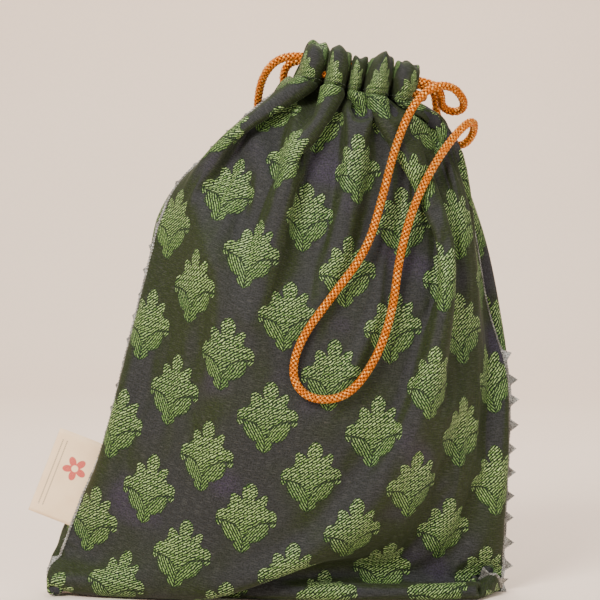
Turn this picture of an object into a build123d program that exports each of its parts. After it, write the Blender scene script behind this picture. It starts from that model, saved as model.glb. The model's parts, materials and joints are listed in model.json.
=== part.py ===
"""Drawstring gift sack: a brocade pouch standing on its base, its neck gathered on two corded drawstrings.

Millimetres. +Z is up, -Y is the front, and the origin is the middle of the base on the surface it stands on.
The neck has a frame of its own, tilted down to the right, and everything round the mouth is placed in it.
"""

import math
import os

from build123d import *

# Cloth
WALL = 1.2  # brocade with its seam allowance
LINING_GAP = 0.3
LINING_WALL = 0.6
CLEAR = 0.3  # between pieces that lie against each other

# Body sections: height, middle in X, half width, half depth
SECTIONS = [
    (0, 0, 100, 30),
    (12, 0, 112, 37.5),
    (25, 1.5, 110.5, 41),
    (45, 5, 103, 44),
    (76, 9.5, 95.5, 46),
    (100, 15.5, 89, 46),
    (150, 16.5, 86, 43),
    (190, 16, 80, 37),
    (215, 22, 70, 31),
    (232, 29, 57, 26),
]

# Neck: its frame stands on the middle of the throat
NECK_TILT = 12
THROAT = (39.5, 0, 246)
THROAT_HALF_WIDTH = 29
THROAT_HALF_DEPTH = 20
NECK = Plane(
    origin=THROAT,
    x_dir=(math.cos(math.radians(NECK_TILT)), 0, -math.sin(math.radians(NECK_TILT))),
    z_dir=(math.sin(math.radians(NECK_TILT)), 0, math.cos(math.radians(NECK_TILT))),
)

# Casings: the two turned-over top hems that the drawstrings run in
CASING_LENGTH = 53
CASING_DEPTH = 13.5
CASING_HEIGHT = 19
CASING_LIFT = 2  # above the throat's rim
CASING_ROUND = 4
MOUTH_GAP = 13
CINCH = 4.5  # how far each casing closes the mouth
CHANNEL_HEIGHT = 12
CHANNEL_ROUND = 2

# Drawstrings
CORD = 4.2
CORD_PLAY = 0.4
PULL = 20  # how far a drawstring is drawn out
RUN_LENGTH = 24  # cord inside the casing, at each end of a pull loop
RUN_PROUD = 0.5  # how far it stands out of the casing's end
RUN_LEVEL = 14.5  # heights in the neck's frame
TURN_LEVEL = 8
TURN_REACH = 4.5  # how far a turn's outside run stands off the casing's end
TURN_INSIDE = 8
TURN_BEND = 6

CHANNEL_DEPTH = CORD + CINCH + 2 * CORD_PLAY
CASING_Y = MOUTH_GAP / 2 + CASING_DEPTH / 2
CHANNEL_INNER_Y = CASING_Y - CHANNEL_DEPTH / 2
CORD_Y = CHANNEL_INNER_Y + CORD_PLAY + CORD / 2
CHANNEL_LEVEL = (RUN_LEVEL + TURN_LEVEL) / 2

# Free routes of the two pull loops, from the front casing to the back casing, chosen by hand
RIGHT_LOOP = [
    (69, -11, 254.55),
    (76.8, -11, 252.9),
    (80.4, -4.5, 248.5),
    (81, 4.9, 243),
    (86.6, 6.8, 240.2),
    (92.2, 3.6, 241.6),
    (91.4, -5.5, 246),
    (85.5, -13.5, 251.7),
    (75, -20, 252),
    (64.5, -26, 241.5),
    (56, -32.5, 221.5),
    (49.5, -38.7, 196),
    (42, -43.5, 171),
    (25, -47.5, 149),
    (9.5, -48.3, 128),
    (5.5, -48.6, 110),
    (15, -48.8, 99.5),
    (33, -48.8, 101),
    (47, -47, 120),
    (54.5, -45, 143),
    (57.5, -41.5, 168),
    (65, -35.5, 194),
    (77, -26.5, 216),
    (89, -16, 231),
    (96.5, -5.5, 236),
    (97.5, 5, 229),
    (92, 13.5, 223),
    (84.5, 20, 227.5),
    (80, 20.5, 238),
    (79, 15.5, 248),
    (76.8, 11, 252.9),
    (69, 11, 254.55),
]
LEFT_LOOP = [
    (16, -11, 265.8),
    (7.7, -11, 267.6),
    (-3, -6, 265),
    (-9.5, 4.5, 256.5),
    (-12, 15.5, 243.5),
    (-11, 26.5, 225),
    (-8, 37, 200),
    (-6.5, 44, 172),
    (-6.5, 48, 143),
    (-3, 50, 113),
    (-2, 50.5, 86),
    (7, 50.5, 64),
    (23, 50, 57.5),
    (37, 50.5, 68),
    (42.5, 50.3, 90),
    (41, 49.8, 118),
    (36, 47.8, 146),
    (29, 44, 174),
    (22, 38.5, 199),
    (15, 33.5, 220),
    (8.5, 28.5, 237),
    (2.5, 22, 251),
    (1, 14, 262),
    (7.7, 11, 267.6),
    (16, 11, 265.8),
]

# Lace: a narrow metallic tape with pointed scallops
LACE_THICK = 0.6
LACE_TAPE = 2.6
LACE_POINT = 4.5
LACE_PITCH = 11.75
LACE_TOP = 240
LACE_LOW = 20
LACE_FLOOR = 0.3
LACE_STAND_OFF = 1.5  # from the base's outline
LACE_BOTTOM_START = 192
LACE_BOTTOM_ARC = 156

# Label: a folded ribbon sewn into the left seam
LABEL_LENGTH = 44  # along the seam
LABEL_REACH = 26
LABEL_LEAF = 0.35
LABEL_Y = 0.7
LABEL_ROOT_LOW = (-105, 36)
LABEL_ROOT_HIGH = (-86.5, 76)
TACK_LENGTH = 3
TACK_THICK = 0.5

# Stitches that close a casing
STITCH_LENGTH = 2.6
STITCH_THICK = 0.45
STITCH_PITCH = 4
STITCH_COUNT = 12
STITCH_LEVEL = 2.4

# Seam between front and back: it runs up the sides and turns forward under the front of the base
SEAM_PROFILE = [(0, 26), (-5, 11), (-24, 0)]
FAR = 300


def body_form(inset, base):
    """The sack's form, its walls drawn in by inset and its underside raised by base."""
    with BuildPart() as form:
        for height, middle, half_width, half_depth in SECTIONS:
            with BuildSketch(Plane.XY.offset(max(height, base))):
                with Locations((middle, 0)):
                    Ellipse(half_width - inset, half_depth - inset)
        with BuildSketch(NECK):
            Ellipse(THROAT_HALF_WIDTH - inset, THROAT_HALF_DEPTH - inset)
        loft()
    return form.part


def cavity(inset, base):
    """The form that is taken out of a shell, with the throat left open."""
    with BuildPart() as hollow:
        add(body_form(inset, base))
        with BuildSketch(NECK.offset(-CLEAR)):
            Ellipse(THROAT_HALF_WIDTH - inset, THROAT_HALF_DEPTH - inset)
        extrude(amount=2 * CASING_LIFT)
    return hollow.part


def front_side():
    """Everything in front of the seam, as one block."""
    with BuildPart() as block:
        with BuildSketch(Plane.YZ.offset(-FAR / 2)):
            with BuildLine():
                Spline(*SEAM_PROFILE)
                Polyline(
                    SEAM_PROFILE[-1],
                    (SEAM_PROFILE[-1][0], -FAR),
                    (-FAR, -FAR),
                    (-FAR, FAR),
                    (0, FAR),
                    SEAM_PROFILE[0],
                )
            make_face()
        extrude(amount=FAR)
    return block.part


def shell(outer_inset, wall):
    """A cloth layer of that wall, open at the throat."""
    with BuildPart() as layer:
        add(body_form(outer_inset, outer_inset))
        add(cavity(outer_inset + wall, outer_inset + wall), mode=Mode.SUBTRACT)
    return layer.part


def panel(layer, side, mode, name):
    """The part of a cloth layer on one side of the seam."""
    with BuildPart() as half:
        add(layer)
        add(side, mode=mode)
    half.part.label = name
    return half.part


def casing(side, name):
    """A gathered hem on the front (side -1) or the back (side 1), with the drawstrings' channel through it."""
    middle_y = side * CASING_Y
    with BuildPart() as hem:
        with BuildSketch(NECK.offset(CASING_LIFT)):
            with Locations((0, middle_y)):
                Rectangle(CASING_LENGTH, CASING_DEPTH)
        extrude(amount=CASING_HEIGHT)
        fillet(hem.edges().filter_by(Axis(THROAT, NECK.x_dir)), CASING_ROUND)
        end_plane = Plane(
            origin=NECK.from_local_coords((-CASING_LENGTH / 2, 0, 0)), x_dir=(0, 1, 0), z_dir=NECK.x_dir
        )
        with BuildSketch(end_plane):
            with Locations((middle_y, CHANNEL_LEVEL)):
                RectangleRounded(CHANNEL_DEPTH, CHANNEL_HEIGHT, CHANNEL_ROUND)
        extrude(amount=CASING_LENGTH, mode=Mode.SUBTRACT)
    hem.part.label = name
    return hem.part


def casing_stitches(side, name):
    """The row of stitches that closes a casing, along the bottom of its outer face."""
    outer_y = side * (CASING_Y + CASING_DEPTH / 2 + STITCH_THICK / 2 + 0.02)
    level = CASING_LIFT + CASING_ROUND + STITCH_LEVEL
    with BuildPart() as row:
        with BuildSketch(NECK.offset(level)):
            with Locations((0, outer_y)):
                with GridLocations(STITCH_PITCH, 1, STITCH_COUNT, 1):
                    Rectangle(STITCH_LENGTH, STITCH_THICK)
        extrude(amount=STITCH_THICK)
    row.part.label = name
    return row.part


def bend_radii(points):
    """For each corner of a route, the radius of an arc that takes 0.45 of its shorter run at each end."""
    radii = []
    for before, corner, after in zip(points, points[1:], points[2:]):
        arriving = Vector(corner) - Vector(before)
        leaving = Vector(after) - Vector(corner)
        half_turn = math.radians(arriving.get_angle(leaving)) / 2
        radii.append(0.45 * min(arriving.length, leaving.length) / math.tan(half_turn))
    return radii


def cord(points, name):
    """A plain round cord along a route of straight runs joined by tangent arcs."""
    radii = bend_radii(points)
    with BuildPart() as tube:
        with BuildLine() as route:
            FilletPolyline(*points, radius=radii)
        wire = route.wire()
        with BuildSketch(Plane(origin=wire @ 0, z_dir=wire % 0)):
            Circle(CORD / 2)
        sweep()
    length = wire.length
    share = tube.part.volume / (math.pi * CORD**2 / 4 * length)
    print(f"{name}: {length:.0f} mm long, volume share {share:.4f}, radii {[round(r) for r in radii]}")
    tube.part.label = name
    return tube.part


def cord_ends(side, name):
    """The two lengths of a drawstring inside the casings, behind its pull loop on the right (side 1) or left."""
    outer_end = side * (CASING_LENGTH / 2 + RUN_PROUD)
    middle = outer_end - side * RUN_LENGTH / 2
    with BuildPart() as runs:
        for y in (-CORD_Y, CORD_Y):
            start = Plane(
                origin=NECK.from_local_coords((middle - RUN_LENGTH / 2, y, RUN_LEVEL)), z_dir=NECK.x_dir
            )
            with BuildSketch(start):
                Circle(CORD / 2)
            extrude(amount=RUN_LENGTH)
    runs.part.label = name
    return runs.part


def cord_turn(side, name):
    """Where a drawstring leaves one casing and goes back into the other, on the right (side 1) or left."""
    inside = side * (CASING_LENGTH / 2 - TURN_INSIDE)
    outside = side * (CASING_LENGTH / 2 + TURN_REACH)
    corners = [(inside, -CORD_Y), (outside, -CORD_Y), (outside, CORD_Y), (inside, CORD_Y)]
    points = [NECK.from_local_coords((x, y, TURN_LEVEL)) for x, y in corners]
    with BuildPart() as turn:
        with BuildLine() as route:
            FilletPolyline(*points, radius=TURN_BEND)
        wire = route.wire()
        with BuildSketch(Plane(origin=wire @ 0, z_dir=wire % 0)):
            Circle(CORD / 2)
        sweep()
    turn.part.label = name
    return turn.part


def points_along(line, pitch):
    """Pairs of neighbouring places on a line, a pitch apart, with the outward normal in the line's plane."""
    count = int(line.length / pitch)
    step = line.length / count
    spots = [line.position_at(i * step, position_mode=PositionMode.LENGTH) for i in range(count + 1)]
    return list(zip(spots, spots[1:]))


def lace(plane, line, outward, keep_out, name):
    """Lace along a line in a plane: a tape on the line's outward side, with a point on every pitch."""
    with BuildPart() as strip:
        with BuildSketch(plane):
            for a, b in points_along(line, LACE_PITCH):
                along = (b - a).normalized()
                out = Vector(-along.Y, along.X, 0) * outward
                tip = (a + b) * 0.5 + out * (LACE_TAPE + LACE_POINT)
                inner_a = a - along * 0.5
                inner_b = b + along * 0.5
                with BuildLine():
                    Polyline(
                        inner_a,
                        inner_b,
                        inner_b + out * LACE_TAPE,
                        tip,
                        inner_a + out * LACE_TAPE,
                        close=True,
                    )
                make_face()
        extrude(amount=LACE_THICK)
        add(keep_out, mode=Mode.SUBTRACT)
    strip.part.label = name
    return strip.part


def side_lace(side, keep_out, name):
    """Lace up a side seam, on the right (side 1) or the left."""
    sections = [section for section in SECTIONS if LACE_LOW < section[0] < LACE_TOP]
    edge = Spline(*[(middle + side * half_width, height) for height, middle, half_width, _ in sections])
    plane = Plane(origin=(0, LACE_THICK / 2, 0), x_dir=(1, 0, 0), z_dir=(0, -1, 0))
    return lace(plane, edge, -side, keep_out, name)


def bottom_lace(keep_out, name):
    """Lace along the bottom seam, flat on the surface round the front of the base."""
    _, middle, half_width, half_depth = SECTIONS[0]
    edge = EllipticalCenterArc(
        (middle, 0),
        half_width + LACE_STAND_OFF,
        half_depth + LACE_STAND_OFF,
        LACE_BOTTOM_START,
        arc_size=LACE_BOTTOM_ARC,
    )
    return lace(Plane.XY.offset(LACE_FLOOR), edge, -1, keep_out, name)


def label_plane():
    """X runs from the seam out to the label's fold, Y up the seam, and Z to the back."""
    low, high = Vector(LABEL_ROOT_LOW[0], 0, LABEL_ROOT_LOW[1]), Vector(LABEL_ROOT_HIGH[0], 0, LABEL_ROOT_HIGH[1])
    up_seam = (high - low).normalized()
    outward = Vector(-up_seam.Z, 0, up_seam.X)
    return Plane(origin=(low + high) * 0.5 + Vector(0, LABEL_Y, 0), x_dir=outward, z_dir=outward.cross(up_seam))


def label(name):
    """A ribbon folded on itself: two leaves joined at the fold."""
    plane = label_plane()
    thick = 3 * LABEL_LEAF
    with BuildPart() as ribbon:
        with BuildSketch(plane):
            with Locations((LABEL_REACH / 2, 0)):
                Rectangle(LABEL_REACH, LABEL_LENGTH)
        extrude(amount=thick)
        with BuildSketch(plane.offset(LABEL_LEAF)):
            with Locations((LABEL_REACH / 2 - LABEL_LEAF, 0)):
                Rectangle(LABEL_REACH, LABEL_LENGTH)
        extrude(amount=LABEL_LEAF, mode=Mode.SUBTRACT)
    ribbon.part.label = name
    return ribbon.part


def label_tacks(name):
    """The two tacks that hold the label's leaves together near the seam."""
    plane = label_plane().offset(3 * LABEL_LEAF + 0.02)
    with BuildPart() as tacks:
        with BuildSketch(plane):
            with Locations((TACK_LENGTH, 0)):
                with GridLocations(0, LABEL_LENGTH - 2 * TACK_LENGTH, 1, 2):
                    Rectangle(TACK_THICK, TACK_LENGTH)
        extrude(amount=TACK_THICK)
    tacks.part.label = name
    return tacks.part


brocade = shell(0, WALL)
lining = shell(WALL + LINING_GAP, LINING_WALL)
front = front_side()
round_body = body_form(-CLEAR, 0)

pieces = [
    panel(brocade, front, Mode.INTERSECT, "front_panel"),
    panel(brocade, front, Mode.SUBTRACT, "back_panel"),
    panel(lining, front, Mode.INTERSECT, "front_lining"),
    panel(lining, front, Mode.SUBTRACT, "back_lining"),
    casing(-1, "front_casing"),
    casing(1, "back_casing"),
    casing_stitches(-1, "front_casing_stitches"),
    casing_stitches(1, "back_casing_stitches"),
    side_lace(-1, round_body, "left_seam_lace"),
    side_lace(1, round_body, "right_seam_lace"),
    bottom_lace(round_body, "bottom_seam_lace"),
    cord(RIGHT_LOOP, "right_pull_loop"),
    cord_ends(1, "right_cord_ends"),
    cord_turn(-1, "right_cord_turn"),
    cord(LEFT_LOOP, "left_pull_loop"),
    cord_ends(-1, "left_cord_ends"),
    cord_turn(1, "left_cord_turn"),
    label("label"),
    label_tacks("label_tacks"),
]

os.makedirs("parts", exist_ok=True)
for piece in pieces:
    export_step(piece, f"parts/{piece.label}.step")
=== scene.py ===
"""The drawstring gift sack round its CAD frame.

Gathered brocade, linings, metallic lace, braided drawstrings and a ribbon label. Cloth and cords are worked
out in millimetres and made in metres. +Z is up and -Y is the front. The cloth is one tube of two panels on a
regular grid, relaxed over its filling by a small cloth solver.
"""

import json
import math

import bpy
import numpy as np
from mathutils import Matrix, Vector

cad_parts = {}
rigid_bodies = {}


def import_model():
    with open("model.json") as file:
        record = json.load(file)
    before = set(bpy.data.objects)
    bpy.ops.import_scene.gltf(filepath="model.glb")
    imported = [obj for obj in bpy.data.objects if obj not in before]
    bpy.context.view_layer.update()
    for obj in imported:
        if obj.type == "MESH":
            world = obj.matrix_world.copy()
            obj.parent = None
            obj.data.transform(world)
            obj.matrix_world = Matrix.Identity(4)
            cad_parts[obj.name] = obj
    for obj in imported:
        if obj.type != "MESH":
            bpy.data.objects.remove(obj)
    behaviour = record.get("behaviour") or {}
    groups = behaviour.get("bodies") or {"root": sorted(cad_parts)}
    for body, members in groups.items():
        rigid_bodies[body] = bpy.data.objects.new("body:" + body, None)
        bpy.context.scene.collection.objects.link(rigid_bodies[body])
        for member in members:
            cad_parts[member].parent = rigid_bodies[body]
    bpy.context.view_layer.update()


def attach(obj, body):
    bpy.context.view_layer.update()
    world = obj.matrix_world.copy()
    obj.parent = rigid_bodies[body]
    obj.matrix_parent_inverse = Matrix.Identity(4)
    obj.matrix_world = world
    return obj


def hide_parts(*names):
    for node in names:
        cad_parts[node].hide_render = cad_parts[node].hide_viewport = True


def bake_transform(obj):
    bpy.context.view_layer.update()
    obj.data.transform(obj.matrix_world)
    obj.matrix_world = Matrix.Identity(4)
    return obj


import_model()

MM = 0.001

# Cloth cut: each panel between its seams, from the bottom seam up to the casing's stitches
CLOTH_WIDTH = 232.0
BODY_HEIGHT = 290.0
CASING_HEIGHT = 44.0  # over the top hem and down its inner side
SIDE = 80  # cells across a panel
ROWS = 97
AROUND = 2 * SIDE
STEP = CLOTH_WIDTH / SIDE
RISE = BODY_HEIGHT / (ROWS - 1)

# The sack's outline when filled: height, left edge, right edge, front depth, back depth
OUTLINE = np.array([
    (0, -106, 106, 19, 13), (8, -113.5, 112, 20, 14), (16, -115, 113.5, 20, 14), (30, -112, 113, 20, 15),
    (45, -104, 110, 29, 28), (60, -94.5, 109, 37, 36), (76, -86, 107, 44, 42), (103, -74, 106, 46, 45),
    (125, -71, 105, 46, 44), (150, -70, 102, 44, 42), (170, -69, 100, 41, 39.5), (190, -66, 97.5, 38, 37),
    (205, -58, 95, 35, 34), (220, -44, 92.5, 31, 30), (233, -32, 89, 28, 26.5), (243, -21, 85, 25, 24),
    (250, -12, 79, 22, 22), (262, 5, 66, 20, 20),
], dtype=float)
OUTLINE_TOP = OUTLINE[-1, 0]
FLATNESS = 0.45  # depth over width of the flat ellipse that the columns of cloth are shared out on
SEAM_Y = -20.0  # the bottom seam's middle

# The neck's own frame, tilted down to the right
TILT = math.radians(12)
THROAT = np.array([39.5, 0.0, 246.0])
NECK_X = np.array([math.cos(TILT), 0, -math.sin(TILT)])
NECK_Y = np.array([0, 1.0, 0])
NECK_Z = np.array([math.sin(TILT), 0, math.cos(TILT)])
CASING_HALF = 26.5  # half of the casings' length

# Gathers, from left to right: each lobe's width, how high its top stands and how far out it reaches
FRONT_LOBES = [(13.0, 21, 17), (12.0, 23, 21), (7.5, 19.5, 17), (14.0, 25, 21), (12.5, 22, 15)]
BACK_LOBES = [(16.5, 25.5, 19), (8.5, 20, 17), (12.5, 21, 20), (9.0, 20, 17), (12.5, 25, 18)]
CREST, CREASE = 21.0, 4.0  # how far the gathers reach from the neck's middle, at most and at least
CREST_POWER = 0.8  # under 1 broadens the crests
LOBE_BULGE = 0.13  # how far a lobe's flanks lean over the creases, in its widths
END_CELLS = 4.0  # over this many cells of a panel its gathers' ends draw in to meet the other panel's
END_FLARE = 0.06  # how much further out along the neck those ends lie
STITCH_LEVEL = 3.0

# How soft things inside press the front out and let it sink: ends of a line (x, z), width, depth
LUMPS = [
    (-46, 206, -34, 168, 10, 9), (-34, 168, -16, 138, 10, 8), (-58, 190, -50, 145, 9, -8),
    (-18, 236, -6, 206, 9, 6), (-14, 194, 14, 160, 9, -6), (64, 240, 82, 196, 14, 3),
    (82, 196, 72, 150, 14, 6), (100, 104, 80, 91, 6, 7), (80, 91, 50, 64, 8, 6), (100, 92, 76, 74, 7, -5),
    (96, 64, 70, 46, 7, 6), (-66, 96, -88, 52, 9, 5), (-20, 120, 20, 60, 28, 3),
]

# Routes of the pull loops in metres, the same points as the CAD tubes'
RIGHT_LOOP = [
    (0.069, -0.011, 0.25455), (0.0768, -0.011, 0.2529), (0.0804, -0.0045, 0.2485), (0.081, 0.0049, 0.243),
    (0.0866, 0.0068, 0.2402), (0.0922, 0.0036, 0.2416), (0.0914, -0.0055, 0.246), (0.0855, -0.0135, 0.2517),
    (0.075, -0.02, 0.252), (0.0645, -0.026, 0.2415), (0.056, -0.0325, 0.2215), (0.0495, -0.0387, 0.196),
    (0.042, -0.0435, 0.171), (0.025, -0.0475, 0.149), (0.0095, -0.0483, 0.128), (0.0055, -0.0486, 0.11),
    (0.015, -0.0488, 0.0995), (0.033, -0.0488, 0.101), (0.047, -0.047, 0.12), (0.0545, -0.045, 0.143),
    (0.0575, -0.0415, 0.168), (0.065, -0.0355, 0.194), (0.077, -0.0265, 0.216), (0.089, -0.016, 0.231),
    (0.0965, -0.0055, 0.236), (0.0975, 0.005, 0.229), (0.092, 0.0135, 0.223), (0.0845, 0.02, 0.2275),
    (0.08, 0.0205, 0.238), (0.079, 0.0155, 0.248), (0.0768, 0.011, 0.2529), (0.069, 0.011, 0.25455),
]
LEFT_LOOP = [
    (0.016, -0.011, 0.2658), (0.0077, -0.011, 0.2676), (-0.003, -0.006, 0.265), (-0.0095, 0.0045, 0.2565),
    (-0.012, 0.0155, 0.2435), (-0.011, 0.0265, 0.225), (-0.008, 0.037, 0.2), (-0.0065, 0.044, 0.172),
    (-0.0065, 0.048, 0.143), (-0.003, 0.05, 0.113), (-0.002, 0.0505, 0.086), (0.007, 0.0505, 0.064),
    (0.023, 0.05, 0.0575), (0.037, 0.0505, 0.068), (0.0425, 0.0503, 0.09), (0.041, 0.0498, 0.118),
    (0.036, 0.0478, 0.146), (0.029, 0.044, 0.174), (0.022, 0.0385, 0.199), (0.015, 0.0335, 0.22),
    (0.0085, 0.0285, 0.237), (0.0025, 0.022, 0.251), (0.001, 0.014, 0.262), (0.0077, 0.011, 0.2676),
    (0.016, 0.011, 0.2658),
]

# The hidden lengths of cord, in the neck's frame
CORD_Y = 11.0
RUN_START, RUN_LENGTH, RUN_LEVEL = 3.0, 24.0, 14.5
TURN_START, TURN_END, TURN_LEVEL = 18.5, 31.0, 8.0

rng = np.random.default_rng(7)


# ---- helpers


def neck(x, y, z):
    """Points of the neck's frame in the sack's frame."""
    x, y, z = np.broadcast_arrays(np.asarray(x, float), np.asarray(y, float), np.asarray(z, float))
    return THROAT + x[..., None] * NECK_X + y[..., None] * NECK_Y + z[..., None] * NECK_Z


def ramp(values, start, width):
    """0 up to start, and 1 from there plus width; a negative width goes down from it."""
    return np.clip((values - start) / width, 0, 1)


def running_total(steps):
    """The sum of the steps up to each place, from 0."""
    return np.concatenate([[0], np.cumsum(steps)])


def length_along(line):
    """How far along a line each of its points is."""
    return running_total(np.linalg.norm(np.diff(line, axis=0), axis=1))


def at_places(places, known, line):
    """A line's points at places along it, given the known places of its own points."""
    return np.stack([np.interp(places, known, line[:, k]) for k in range(3)], -1)


def link(obj):
    bpy.context.scene.collection.objects.link(obj)
    return obj


def mesh_object(name, verts, faces, uv=None):
    """A mesh object from millimetre points, with UVs in millimetres if there are any."""
    mesh = bpy.data.meshes.new(name)
    mesh.from_pydata((np.asarray(verts, float) * MM).tolist(), [], faces)
    if uv is not None:
        layer = mesh.uv_layers.new(name="cloth")
        loops = np.empty(len(mesh.loops), dtype=np.int32)
        mesh.loops.foreach_get("vertex_index", loops)
        layer.data.foreach_set("uv", np.asarray(uv, float)[loops].ravel())
    mesh.polygons.foreach_set("use_smooth", [True] * len(mesh.polygons))
    return link(bpy.data.objects.new(name, mesh))


def grid_faces(rows, columns, closed=False, first=0):
    """Quads of a grid of points; closed joins the last column to the first."""
    faces = []
    for row in range(rows - 1):
        low = first + row * columns
        high = low + columns
        for column in range(columns if closed else columns - 1):
            following = (column + 1) % columns
            faces.append((low + column, low + following, high + following, high + column))
    return faces


def grid_object(name, points, uv):
    """A sheet from a grid of points with a UV at each."""
    rows, columns = points.shape[:2]
    return mesh_object(name, points.reshape(-1, 3), grid_faces(rows, columns), uv.reshape(-1, 2))


def mark_points(obj, name, values):
    """Keeps a number for each point of a mesh, for its material to read."""
    layer = obj.data.attributes.new(name, "FLOAT", "POINT")
    layer.data.foreach_set("value", values.astype(np.float32))


def thicken(obj, thickness, offset):
    """Gives a sheet its thickness in millimetres; an offset of -1 puts it all inside."""
    modifier = obj.modifiers.new("thickness", "SOLIDIFY")
    modifier.thickness = thickness * MM
    modifier.offset = offset
    depsgraph = bpy.context.evaluated_depsgraph_get()
    mesh = bpy.data.meshes.new_from_object(obj.evaluated_get(depsgraph))
    obj.modifiers.clear()
    obj.data = mesh


def place(obj, body, slot, node):
    """Lets a finished piece ride on a body in the place of a CAD node."""
    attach(obj, body)
    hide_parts(node)


# ---- cloth: its form


def outline_at(z):
    """Left, right, front and back of the filled sack at heights z, as a smooth curve through OUTLINE."""
    heights = OUTLINE[:, 0]
    i = np.clip(np.searchsorted(heights, z) - 1, 0, len(heights) - 2)
    h = heights[i + 1] - heights[i]
    s = np.clip((z - heights[i]) / h, 0, 1)
    found = []
    for k in range(1, 5):
        y = OUTLINE[:, k]
        m = np.gradient(y, heights)
        start = (2 * s**3 - 3 * s**2 + 1) * y[i] + (s**3 - 2 * s**2 + s) * h * m[i]
        found.append(start + (-2 * s**3 + 3 * s**2) * y[i + 1] + (s**3 - s**2) * h * m[i + 1])
    return found


def lumps_at(x, z):
    """How far the filling presses the front out, at places seen from the front."""
    total = np.zeros_like(x)
    for x0, z0, x1, z1, width, depth in LUMPS:
        dx, dz = x1 - x0, z1 - z0
        along = np.clip(((x - x0) * dx + (z - z0) * dz) / (dx * dx + dz * dz), 0, 1)
        gap = (x - x0 - along * dx) ** 2 + (z - z0 - along * dz) ** 2
        total += depth * np.exp(-gap / width**2)
    return total


def equal_angles(count):
    """Angles from the left seam (pi) to the right (0) that part a flat ellipse into equal lengths."""
    fine = np.linspace(math.pi, 0, 2001)
    length = running_total(np.hypot(np.diff(np.cos(fine)), np.diff(FLATNESS * np.sin(fine))))
    return np.interp(np.linspace(0, length[-1], count), length, fine)


def gather(lobes, count):
    """A gathered edge at count + 1 even places: place along the neck, crest from 0 to 1, top height."""
    fine = 400
    along, crest, top = [], [], []
    start = CASING_HALF - sum(lobe[0] for lobe in lobes)
    for width, height, reach in lobes:
        turn = np.linspace(-1, 1, fine, endpoint=False)
        along.append(start + width / 2 * (1 + turn) + LOBE_BULGE * width * np.sin(np.pi * turn))
        crest.append(((1 + np.cos(np.pi * turn)) / 2) ** CREST_POWER * (reach - CREASE) / (CREST - CREASE))
        top.append(height)
        start += width
    middles = [np.mean(part) for part in along]
    along, crest = np.concatenate(along), np.concatenate(crest)
    top = np.interp(along, middles, top)
    length = running_total(np.hypot(np.diff(along), np.diff(CREASE + (CREST - CREASE) * crest)))
    even = np.linspace(0, length[-1], count + 1)
    return np.interp(even, length, along), np.interp(even, length, crest), np.interp(even, length, top)


def ends_of(count, reach):
    """From 0 at both ends of a row of count + 1 places to 1 at reach places in."""
    places = np.arange(count + 1)
    return np.clip(np.minimum(places, count - places) / reach, 0, 1)


def gathered_edge(lobes, side):
    """The row of cloth at the casing's stitches, from left to right."""
    along, crest, _ = gather(lobes, SIDE)
    inward = ends_of(SIDE, END_CELLS)
    reach_out = side * (CREASE + (CREST - CREASE) * crest) * inward
    return neck(along * (1 + END_FLARE * (1 - inward)), reach_out, STITCH_LEVEL)


# The cloth before it settles: its bottom seam, and how its sections bulge
BOTTOM_HALF, CORNER_OUT, CORNER_RISE = 110, 3, 15
SEAM_POWER, SECTION_POWER, CORNER_POWER = 0.7, 0.85, 12  # under 1 is squarer than an ellipse
FORM_FOOT, FORM_TOP = 6, 238  # between these heights its columns follow the outline


def first_column(phi, is_front, top):
    """One column of cloth before it settles, from the bottom seam up the outline to the gathers."""
    side = -1 if is_front else 1
    bulge = math.sin(phi) ** SEAM_POWER if 0 < phi < math.pi else 0.0
    seam_x = (BOTTOM_HALF + CORNER_OUT * (bulge == 0)) * math.cos(phi)
    seam = np.array([seam_x, SEAM_Y * bulge, 1 + CORNER_RISE * abs(math.cos(phi)) ** CORNER_POWER])
    z = np.linspace(max(seam[2], FORM_FOOT), FORM_TOP, 220)
    left, right, front, back = outline_at(z)
    depth = front if is_front else back
    x = (left + right) / 2 + (right - left) / 2 * math.cos(phi)
    y = side * depth * math.sin(phi) ** SECTION_POWER if bulge else 0 * x
    path = [seam[None], np.stack([x, y, z], -1), top[None]]
    if not is_front and bulge:
        # the back's cloth first runs along the floor, because the seam lies towards the front
        path.insert(1, np.array([[seam_x * 0.98, y[0] * 0.9, 1.0]]))
    path = np.concatenate(path)
    length = length_along(path)
    return at_places(np.linspace(0, length[-1], ROWS), length, path)


def first_form():
    """The tube of cloth before it settles: columns go round from the left seam by the front, rows go up."""
    cloth = np.zeros((ROWS, AROUND, 3))
    top = np.concatenate([gathered_edge(FRONT_LOBES, -1), gathered_edge(BACK_LOBES, 1)[::-1][1:-1]])
    angles = equal_angles(SIDE + 1)
    for column in range(AROUND):
        is_front = column <= SIDE
        phi = angles[column if is_front else AROUND - column]
        cloth[:, column] = first_column(phi, is_front, top[column])
    cloth[-1] = top
    return cloth


# ---- cloth: its settling

STEPS, PASSES = 160, 8
FLOOR_GAP = 0.8
GRAVITY = 0.045  # mm a step
KEEP_SPEED = 0.92
SHEAR = 0.5
BEND = 0.07
SPANS = (2, 4)  # cells that a bending spring reaches over
REACH_HOLD = 0.05  # how firmly the cloth is kept within its own length of the gathers
LEFTMOST, RIGHTMOST = -116.0, 114.5

# The filling: how far inside the outline it ends, and how much more of that near the throat
INSET = 2
THROAT_FROM, THROAT_OVER = 150, 90
THROAT_LEFT, THROAT_RIGHT, THROAT_DEPTH = 8, 3, 5.0
FILLING_TOP, SHOULDER_RISE = 240, 26  # its top, and how much higher it is at the left shoulder
SHOULDER_FROM, SHOULDER_OVER = 14, 16
FOOT_FROM, FOOT_OVER, TOP_OVER = 4, 14, 12  # its hold grows from the foot and fades at its top
MOST_PUSH = 0.15  # mm a pass

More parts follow.
